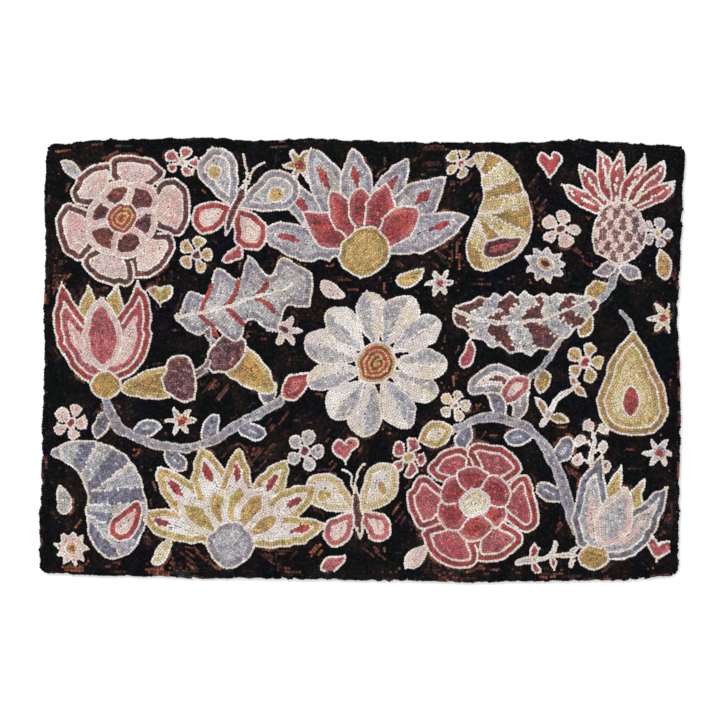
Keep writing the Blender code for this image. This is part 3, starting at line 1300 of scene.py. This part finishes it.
class RUG_OT_ground_pile(bpy.types.Operator):
    """Hooks the black ground: rows along the rug's edge, two round each motif, and rows that fill the rest"""

    bl_idname = "rug.ground_pile"
    bl_label = "Ground Loops"

    def execute(self, context):
        hook_family(GROUND_YARN, GROUND_PIECES)
        return {"FINISHED"}


class RUG_OT_outline_pile(bpy.types.Operator):
    """Hooks the single cream row round each petal, leaf and wing"""

    bl_idname = "rug.outline_pile"
    bl_label = "Outline Loops"

    def execute(self, context):
        hook_family(OUTLINE_YARN, OUTLINE_PIECES)
        return {"FINISHED"}


class RUG_OT_motif_pile(bpy.types.Operator):
    """Fills the motifs with rows of dyed yarn that follow their outlines"""

    bl_idname = "rug.motif_pile"
    bl_label = "Motif Loops"

    def execute(self, context):
        for family in MOTIF_YARNS:
            hook_family(family)
        return {"FINISHED"}


# The cloth's grid, and the parts of a side that are left to its corners, in millimetres
CLOTH_CELL = 12.0
CORNER_SHARE = 12
SIDE_DEPTH = 20

# How far its turned corners are cut back, in metres
CORNER_TURN = 0.0085

# Painted shade on the cloth's upper face: how far off a loop still darkens it, in millimetres, and how much
# of the loops' colour it takes, and bare cotton
PAINTED_SHADE_REACH = 7
PAINTED_SHADE_SHARE = 0.5
BARE_COTTON = (186, 172, 144)


def edge_reach(rim, axis, positive):
    """How far the rim reaches on one side, as a function of the place along that side."""
    other = 1 - axis
    far = rim[(rim[:, axis] > 0) == positive]
    half_span, half_depth = np.abs(rim[:, other]).max(), np.abs(rim[:, axis]).max()
    clear_of_corners = np.abs(far[:, other]) < half_span - CORNER_SHARE
    side = far[clear_of_corners & (np.abs(far[:, axis]) > half_depth - SIDE_DEPTH)]
    side = side[np.argsort(side[:, other])]
    return lambda place: np.interp(place, side[:, other], side[:, axis])


class RUG_OT_foundation(bpy.types.Operator):
    """Cuts the foundation cloth to the rug's uneven outline, under and between the loops"""

    bl_idname = "rug.foundation"
    bl_label = "Foundation Cloth"

    def execute(self, context):
        pile = context.scene.rug_pile
        deselect_all()
        rim = traced(rug_rim())
        inset = pile.cloth_inset / MM
        size = rim.max(axis=0) - rim.min(axis=0)
        cells = (size / CLOTH_CELL).astype(int)
        bpy.ops.mesh.primitive_grid_add(x_subdivisions=cells[0], y_subdivisions=cells[1], size=1.0)
        cloth = context.object
        cloth.name = cloth.data.name = "foundation_cloth"

        # The grid is stretched between the rug's four uneven sides
        points = np.array([point.co[:2] for point in cloth.data.vertices]) * size
        share = points / size + 0.5
        right, left = (edge_reach(rim, 0, side)(points[:, 1]) for side in (True, False))
        back, front = (edge_reach(rim, 1, side)(points[:, 0]) for side in (True, False))
        x = left + inset + (right - left - 2 * inset) * share[:, 0]
        y = front + inset + (back - front - 2 * inset) * share[:, 1]
        flat = np.column_stack([x * MM, y * MM, np.full(len(x), CLOTH_LIFT)])
        cloth.data.vertices.foreach_set("co", flat.astype(np.float32).ravel())

        # Its corners are turned
        bpy.ops.object.mode_set(mode="EDIT")
        bpy.ops.mesh.select_mode(type="VERT")
        bpy.ops.mesh.select_all(action="DESELECT")
        bpy.ops.object.mode_set(mode="OBJECT")
        for side_x in (1, -1):
            for side_y in (1, -1):
                corner = int(np.argmax(flat[:, 0] * side_x + flat[:, 1] * side_y))
                cloth.data.vertices[corner].select = True
        bpy.ops.object.mode_set(mode="EDIT")
        bpy.ops.mesh.bevel(offset=CORNER_TURN, segments=3, affect="VERTICES")
        bpy.ops.object.mode_set(mode="OBJECT")

        solid = cloth.modifiers.new("thickness", "SOLIDIFY")
        solid.thickness = pile.cloth_thickness
        solid.offset = 1.0
        bpy.ops.object.modifier_apply(modifier=solid.name)
        bpy.ops.object.shade_smooth_by_angle(angle=math.radians(40))

        # Painted shade: the cloth's upper face takes the nearby yarns' colour, darkened. Its underside is
        # bare cotton.
        self.dye(cloth)
        cloth.data.materials.append(cloth_finish())
        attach(cloth, "root")
        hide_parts("hooked_rug")
        return {"FINISHED"}

    def dye(self, cloth):
        mesh = cloth.data
        x, y, *_ = hooked_loops()
        colours = loop_colours()
        spots = np.array([point.co for point in mesh.vertices]) / MM
        dye = mesh.attributes.new("dye", "FLOAT_COLOR", "POINT")
        for index, spot in enumerate(spots):
            # The upper face takes the colour of the loops nearby, as the yarn filling the gaps, halved as
            # painted shade; near black painted shade where none is near
            if spot[2] * MM > CLOTH_LIFT + 0.0002:
                near = np.hypot(x - spot[0], y - spot[1]) < PAINTED_SHADE_REACH
                shade = colours[near].mean(axis=0) * PAINTED_SHADE_SHARE if near.any() else np.full(3, 0.01)
            else:
                shade = from_screen(*BARE_COTTON)
            dye.data[index].color = (*shade, 1.0)


class RUG_OT_stage(bpy.types.Operator):
    """Lays a pale floor and sets up soft lights and the camera straight above the rug"""

    bl_idname = "rug.stage"
    bl_label = "Floor, Lights and Camera"

    def execute(self, context):
        studio = context.scene.rug_studio
        self.lay_floor(studio)
        self.light(context.scene, studio)
        self.aim_camera(context.scene, studio)
        return {"FINISHED"}

    def lay_floor(self, studio):
        deselect_all()
        bpy.ops.mesh.primitive_plane_add(size=14.0, location=(0, 0, -0.0004))
        floor = bpy.context.object
        floor.name = "floor"
        bpy.ops.object.transform_apply(location=True, rotation=False, scale=False)
        material, nodes, links, shader = new_material("floor_paper")
        grain = noise(nodes, nodes.new("ShaderNodeTexCoord").outputs["Object"], 60.0, 4.0, 0.6)
        tone = maths(nodes, "MULTIPLY_ADD", grain, 0.02, 0.98)
        links.new(shaded(nodes, studio.floor, tone), shader.inputs["Base Color"])
        shader.inputs["Roughness"].default_value = 0.9
        floor.data.materials.append(material)

    def light(self, scene, studio):
        world = bpy.data.worlds.new("soft_sky")
        world.use_nodes = True
        background = world.node_tree.nodes["Background"]
        background.inputs["Color"].default_value = (1.0, 1.0, 1.0, 1.0)
        background.inputs["Strength"].default_value = studio.sky_strength
        scene.world = world
        deselect_all()
        bpy.ops.object.light_add(type="AREA", location=(-2.3, 2.6, 4.2))
        key = bpy.context.object
        key.name = "main_light"
        key.data.shape = "DISK"
        key.data.size = 2.4
        key.data.energy = studio.key_power
        key.rotation_euler = (-key.location).to_track_quat("-Z", "Y").to_euler()

    def aim_camera(self, scene, studio):
        deselect_all()
        middle = [IMAGE_PIXELS / 2 - pixel for pixel in RUG_MIDDLE_PIXEL]
        x, y = middle[0] * METRES_PER_PIXEL, -middle[1] * METRES_PER_PIXEL
        bpy.ops.object.camera_add(location=(x, y, studio.camera_height), rotation=(0, 0, 0))
        camera = bpy.context.object
        camera.name = "camera"
        frame_width = IMAGE_PIXELS * METRES_PER_PIXEL
        camera.data.sensor_width = SENSOR_WIDTH
        camera.data.lens = SENSOR_WIDTH * (studio.camera_height - PILE_TOP) / frame_width
        scene.camera = camera
        scene.view_settings.view_transform = "Standard"


OPERATORS = (
    RUG_OT_foundation,
    RUG_OT_ground_pile,
    RUG_OT_outline_pile,
    RUG_OT_motif_pile,
    RUG_OT_stage,
)


class RUG_PT_panel(bpy.types.Panel):
    """The rug's settings and the steps that make it"""

    bl_label = "Hooked Rug"
    bl_idname = "RUG_PT_panel"
    bl_space_type = "VIEW_3D"
    bl_region_type = "UI"
    bl_category = "Hooked Rug"

    def draw(self, context):
        scene = context.scene
        for settings in (scene.rug_pile, scene.rug_yarns, scene.rug_studio):
            box = self.layout.box()
            for name in settings.bl_rna.properties.keys():
                if name not in ("rna_type", "name"):
                    box.prop(settings, name)
        for operator in OPERATORS:
            self.layout.operator(operator.bl_idname)


SETTINGS = (("rug_pile", RugPile), ("rug_yarns", RugYarns), ("rug_studio", RugStudio))


def register():
    for _, settings in SETTINGS:
        bpy.utils.register_class(settings)
    for name, settings in SETTINGS:
        setattr(bpy.types.Scene, name, bpy.props.PointerProperty(type=settings))
    for operator in OPERATORS:
        bpy.utils.register_class(operator)
    bpy.utils.register_class(RUG_PT_panel)


def unregister():
    bpy.utils.unregister_class(RUG_PT_panel)
    for operator in reversed(OPERATORS):
        bpy.utils.unregister_class(operator)
    for name, settings in reversed(SETTINGS):
        delattr(bpy.types.Scene, name)
        bpy.utils.unregister_class(settings)


def main():
    register()
    bpy.ops.rug.foundation()
    bpy.ops.rug.ground_pile()
    bpy.ops.rug.outline_pile()
    bpy.ops.rug.motif_pile()
    bpy.ops.rug.stage()


if __name__ == "__main__":
    main()
